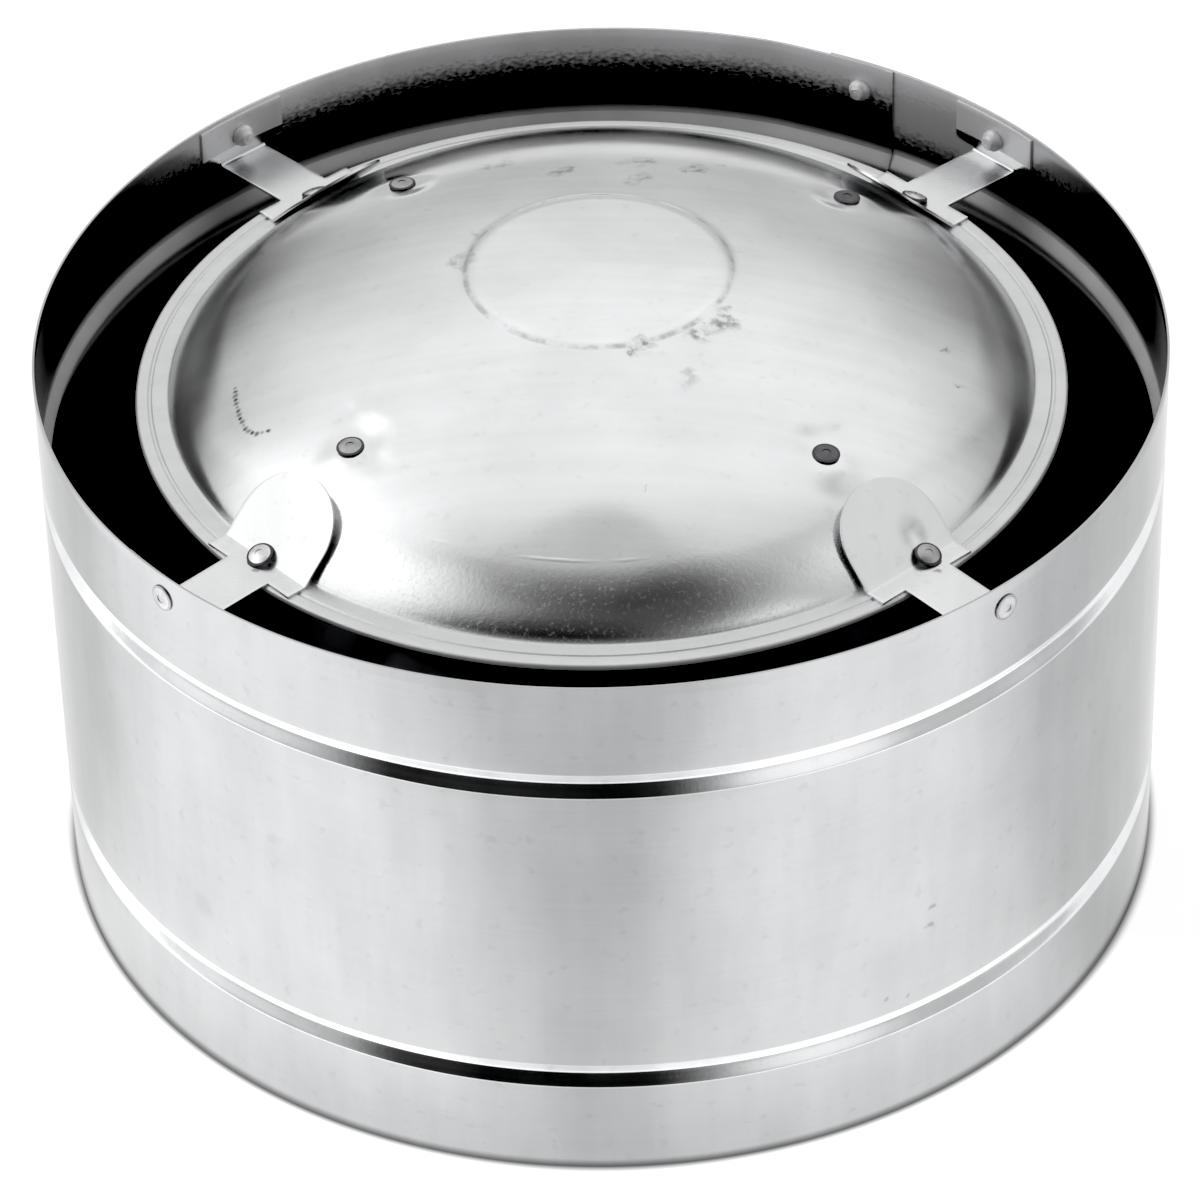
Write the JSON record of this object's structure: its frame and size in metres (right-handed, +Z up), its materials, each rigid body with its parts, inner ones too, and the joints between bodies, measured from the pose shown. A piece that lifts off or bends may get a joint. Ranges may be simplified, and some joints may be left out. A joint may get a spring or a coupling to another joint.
{
  "type": "chimney rain cap",
  "caption": "Round vent pipe cap: a beaded sheet shell hung on folded brackets from a pressed storm dome, with a pipe collar and a conical rain skirt inside.",
  "frame": {"origin": "on the cap's axis, level with the shell's lower rim, which is also the bottom centre of the whole", "axes": "+Z up, along the flue. -Y is the side that faces the camera in the picture, +X is to its right. The brackets stand at 45, 135, 225 and 315 degrees, the legs at 41, 134, 224 and 315, and the lapped seam is at 63 degrees."},
  "size_m": [0.2666, 0.2666, 0.1631],
  "materials": {
    "shell_sheet": "galvanised sheet, satin, faint rolling grain round the shell",
    "dome_sheet": "pressed galvanised sheet, satin crown, coarser and darker on the drawn shoulder",
    "bracket_strip": "galvanised strip, satin, cut edges bright",
    "collar_sheet": "galvanised sheet, satin",
    "bright_rivets": "smooth aluminium blind rivet",
    "dull_rivets": "dull, weathered aluminium blind rivet"
  },
  "bodies": {
    "root": {"bracket_dome_rivets": "bright_rivets", "bracket_front_left": "bracket_strip", "bracket_front_right": "bracket_strip", "bracket_rear_left": "bracket_strip", "bracket_rear_right": "bracket_strip", "bracket_wall_rivets": "bright_rivets", "flue_ring": "collar_sheet", "flue_ring_rivets": "bright_rivets", "leg_collar_rivets": "bright_rivets", "leg_dome_rivets": "dull_rivets", "leg_front_left": "bracket_strip", "leg_front_right": "bracket_strip", "leg_rear_left": "bracket_strip", "leg_rear_right": "bracket_strip", "outer_shell": "shell_sheet", "pipe_collar": "collar_sheet", "rain_skirt": "collar_sheet", "shell_seam_rivets": "bright_rivets", "storm_dome": "dome_sheet"}
  },
  "joints": []
}
